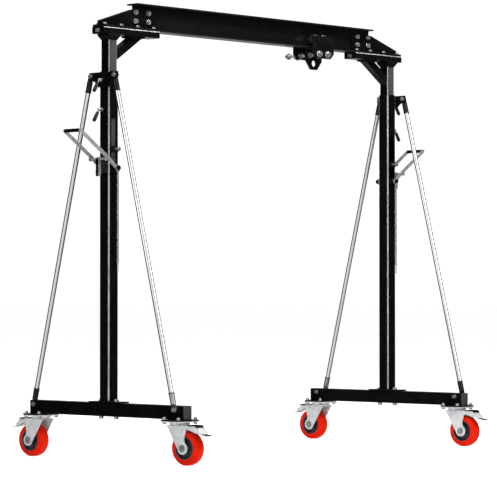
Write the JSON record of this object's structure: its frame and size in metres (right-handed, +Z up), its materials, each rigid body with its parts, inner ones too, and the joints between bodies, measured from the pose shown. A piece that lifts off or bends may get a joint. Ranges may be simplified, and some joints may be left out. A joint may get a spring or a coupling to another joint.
{
  "type": "portable gantry crane",
  "caption": "Height-adjustable portable gantry crane: two braced end frames on braked swivel castors carry an I-beam with a push trolley that has a hanging eye.",
  "frame": {"origin": "on the floor, under the middle of the crane's overall box", "axes": "+X along the I-beam, +Y across it (front is -Y), +Z up"},
  "size_m": [2.391, 1.2068, 2.042],
  "materials": {
    "black_paint": "semi-gloss black powder coat",
    "chrome": "bright chrome",
    "zinc": "bright zinc plate",
    "fasteners": "bright zinc plate",
    "tread": "glossy red polyurethane",
    "core": "dark grey paint",
    "grip": "matt black"
  },
  "bodies": {
    "left_frame": {"left_base_beam": "black_paint", "left_outer_mast": "black_paint", "left_brace_tubes": "chrome", "left_brace_sleeves": "black_paint", "left_frame_bolts": "fasteners", "left_castor_plates": "zinc"},
    "left_front_castor": {"left_front_castor_fork": "zinc", "left_front_wheel_axle": "fasteners"},
    "left_front_wheel": {"left_front_wheel_core": "core", "left_front_wheel_tread": "tread"},
    "left_front_pedal": {"left_front_castor_pedal": "black_paint"},
    "left_rear_castor": {"left_rear_castor_fork": "zinc", "left_rear_wheel_axle": "fasteners"},
    "left_rear_wheel": {"left_rear_wheel_core": "core", "left_rear_wheel_tread": "tread"},
    "left_rear_pedal": {"left_rear_castor_pedal": "black_paint"},
    "left_lever": {"left_lever": "zinc", "left_lever_grip": "grip"},
    "left_dog": {"left_climbing_dog": "black_paint"},
    "left_lock": {"left_lock_pin": "zinc"},
    "left_chain": {"left_safety_chain": "zinc"},
    "left_upper_clamp": {"left_upper_clamp": "zinc"},
    "left_lower_clamp": {"left_lower_clamp": "zinc"},
    "right_frame": {"right_base_beam": "black_paint", "right_outer_mast": "black_paint", "right_brace_tubes": "chrome", "right_brace_sleeves": "black_paint", "right_frame_bolts": "fasteners", "right_castor_plates": "zinc"},
    "right_front_castor": {"right_front_castor_fork": "zinc", "right_front_wheel_axle": "fasteners"},
    "right_front_wheel": {"right_front_wheel_core": "core", "right_front_wheel_tread": "tread"},
    "right_front_pedal": {"right_front_castor_pedal": "black_paint"},
    "right_rear_castor": {"right_rear_castor_fork": "zinc", "right_rear_wheel_axle": "fasteners"},
    "right_rear_wheel": {"right_rear_wheel_core": "core", "right_rear_wheel_tread": "tread"},
    "right_rear_pedal": {"right_rear_castor_pedal": "black_paint"},
    "right_lever": {"right_lever": "zinc", "right_lever_grip": "grip"},
    "right_dog": {"right_climbing_dog": "black_paint"},
    "right_lock": {"right_lock_pin": "zinc"},
    "right_chain": {"right_safety_chain": "zinc"},
    "right_upper_clamp": {"right_upper_clamp": "zinc"},
    "right_lower_clamp": {"right_lower_clamp": "zinc"},
    "beam": {"i_beam": "black_paint", "inner_masts": "black_paint", "head_channels": "black_paint", "knee_braces": "black_paint", "gusset_plates": "black_paint", "beam_bolts": "fasteners"},
    "trolley": {"trolley_side_plates": "black_paint", "spreader_axles": "zinc", "hanger_plate": "black_paint", "roller_pins": "zinc"},
    "trolley_front_left_roller": {"trolley_front_left_roller": "zinc"},
    "trolley_front_right_roller": {"trolley_front_right_roller": "zinc"},
    "trolley_rear_left_roller": {"trolley_rear_left_roller": "zinc"},
    "trolley_rear_right_roller": {"trolley_rear_right_roller": "zinc"}
  },
  "joints": [
    {"name": "height_slide", "type": "slide", "parent": "left_frame", "child": "beam", "axis": [0, 0, 1], "range_m": [0, 0.9]},
    {"name": "right_frame_slide", "type": "slide", "parent": "beam", "child": "right_frame", "axis": [0, 0, 1], "range_m": [-0.9, 0]},
    {"name": "left_front_swivel", "type": "hinge", "parent": "left_frame", "child": "left_front_castor", "pos_m": [-0.965, -0.44, 0.1905], "axis": [0, 0, 1], "continuous": true},
    {"name": "left_front_wheel_spin", "type": "hinge", "parent": "left_front_castor", "child": "left_front_wheel", "pos_m": [-0.96108, -0.48483, 0.075], "axis": [0.9962, 0.0872, 0], "continuous": true},
    {"name": "left_front_brake", "type": "hinge", "parent": "left_front_castor", "child": "left_front_pedal", "pos_m": [-0.95977, -0.49977, 0.163], "axis": [0.9962, 0.0872, 0], "range_deg": [0, 14]},
    {"name": "left_rear_swivel", "type": "hinge", "parent": "left_frame", "child": "left_rear_castor", "pos_m": [-0.965, 0.44, 0.1905], "axis": [0, 0, 1], "continuous": true},
    {"name": "left_rear_wheel_spin", "type": "hinge", "parent": "left_rear_castor", "child": "left_rear_wheel", "pos_m": [-0.96892, 0.48483, 0.075], "axis": [-0.9962, -0.0872, 0], "continuous": true},
    {"name": "left_rear_brake", "type": "hinge", "parent": "left_rear_castor", "child": "left_rear_pedal", "pos_m": [-0.97023, 0.49977, 0.163], "axis": [-0.9962, -0.0872, 0], "range_deg": [0, 14]},
    {"name": "left_lever_swing", "type": "hinge", "parent": "left_frame", "child": "left_lever", "pos_m": [-0.965, 0, 1.2975], "axis": [0, 1, 0], "range_deg": [-60, 10]},
    {"name": "left_dog_swing", "type": "hinge", "parent": "left_lever", "child": "left_dog", "pos_m": [-1.031, 0, 1.3365], "axis": [0, 1, 0], "range_deg": [-10, 60]},
    {"name": "left_lock_push", "type": "slide", "parent": "left_frame", "child": "left_lock", "axis": [0, 1, 0], "range_m": [0, 0.02]},
    {"name": "left_chain_swing", "type": "hinge", "parent": "left_frame", "child": "left_chain", "pos_m": [-0.965, -0.057, 1.2975], "axis": [0, 1, 0], "range_deg": [-25, 25]},
    {"name": "left_upper_clamp_turn", "type": "hinge", "parent": "left_frame", "child": "left_upper_clamp", "pos_m": [-1.015, 0, 1.6875], "axis": [-1, 0, 0], "range_deg": [-180, 180]},
    {"name": "left_lower_clamp_turn", "type": "hinge", "parent": "left_frame", "child": "left_lower_clamp", "pos_m": [-1.015, 0, 1.5565], "axis": [-1, 0, 0], "range_deg": [-180, 180]},
    {"name": "right_front_swivel", "type": "hinge", "parent": "right_frame", "child": "right_front_castor", "pos_m": [0.965, -0.44, 0.1905], "axis": [0, 0, 1], "continuous": true},
    {"name": "right_front_wheel_spin", "type": "hinge", "parent": "right_front_castor", "child": "right_front_wheel", "pos_m": [0.96892, -0.48483, 0.075], "axis": [0.9962, 0.0872, 0], "continuous": true},
    {"name": "right_front_brake", "type": "hinge", "parent": "right_front_castor", "child": "right_front_pedal", "pos_m": [0.97023, -0.49977, 0.163], "axis": [0.9962, 0.0872, 0], "range_deg": [0, 14]},
    {"name": "right_rear_swivel", "type": "hinge", "parent": "right_frame", "child": "right_rear_castor", "pos_m": [0.965, 0.44, 0.1905], "axis": [0, 0, 1], "continuous": true},
    {"name": "right_rear_wheel_spin", "type": "hinge", "parent": "right_rear_castor", "child": "right_rear_wheel", "pos_m": [0.96108, 0.48483, 0.075], "axis": [-0.9962, -0.0872, 0], "continuous": true},
    {"name": "right_rear_brake", "type": "hinge", "parent": "right_rear_castor", "child": "right_rear_pedal", "pos_m": [0.95977, 0.49977, 0.163], "axis": [-0.9962, -0.0872, 0], "range_deg": [0, 14]},
    {"name": "right_lever_swing", "type": "hinge", "parent": "right_frame", "child": "right_lever", "pos_m": [0.965, 0, 1.2975], "axis": [0, -1, 0], "range_deg": [-60, 10]},
    {"name": "right_dog_swing", "type": "hinge", "parent": "right_lever", "child": "right_dog", "pos_m": [1.031, 0, 1.3365], "axis": [0, -1, 0], "range_deg": [-10, 60]},
    {"name": "right_lock_push", "type": "slide", "parent": "right_frame", "child": "right_lock", "axis": [0, 1, 0], "range_m": [0, 0.02]},
    {"name": "right_chain_swing", "type": "hinge", "parent": "right_frame", "child": "right_chain", "pos_m": [0.965, -0.057, 1.2975], "axis": [0, 1, 0], "range_deg": [-25, 25]},
    {"name": "right_upper_clamp_turn", "type": "hinge", "parent": "right_frame", "child": "right_upper_clamp", "pos_m": [1.015, 0, 1.6875], "axis": [1, 0, 0], "range_deg": [-180, 180]},
    {"name": "right_lower_clamp_turn", "type": "hinge", "parent": "right_frame", "child": "right_lower_clamp", "pos_m": [1.015, 0, 1.5565], "axis": [1, 0, 0], "range_deg": [-180, 180]},
    {"name": "trolley_travel", "type": "slide", "parent": "beam", "child": "trolley", "axis": [1, 0, 0], "range_m": [-1, 0.18]},
    {"name": "trolley_front_left_roller_spin", "type": "hinge", "parent": "trolley", "child": "trolley_front_left_roller", "pos_m": [0.379, -0.03, 1.9563], "axis": [0, 1, 0], "continuous": true},
    {"name": "trolley_front_right_roller_spin", "type": "hinge", "parent": "trolley", "child": "trolley_front_right_roller", "pos_m": [0.441, -0.03, 1.9563], "axis": [0, 1, 0], "continuous": true},
    {"name": "trolley_rear_left_roller_spin", "type": "hinge", "parent": "trolley", "child": "trolley_rear_left_roller", "pos_m": [0.379, 0.03, 1.9563], "axis": [0, 1, 0], "continuous": true},
    {"name": "trolley_rear_right_roller_spin", "type": "hinge", "parent": "trolley", "child": "trolley_rear_right_roller", "pos_m": [0.441, 0.03, 1.9563], "axis": [0, 1, 0], "continuous": true}
  ],
  "couplings": [
    {"joint": "left_dog_swing", "follows": "left_lever_swing", "ratio": -1},
    {"joint": "right_dog_swing", "follows": "right_lever_swing", "ratio": -1},
    {"joint": "right_frame_slide", "follows": "height_slide", "ratio": -1},
    {"joint": "trolley_front_left_roller_spin", "follows": "trolley_travel", "rad_per_m": 37.037},
    {"joint": "trolley_front_right_roller_spin", "follows": "trolley_travel", "rad_per_m": 37.037},
    {"joint": "trolley_rear_left_roller_spin", "follows": "trolley_travel", "rad_per_m": 37.037},
    {"joint": "trolley_rear_right_roller_spin", "follows": "trolley_travel", "rad_per_m": 37.037}
  ]
}
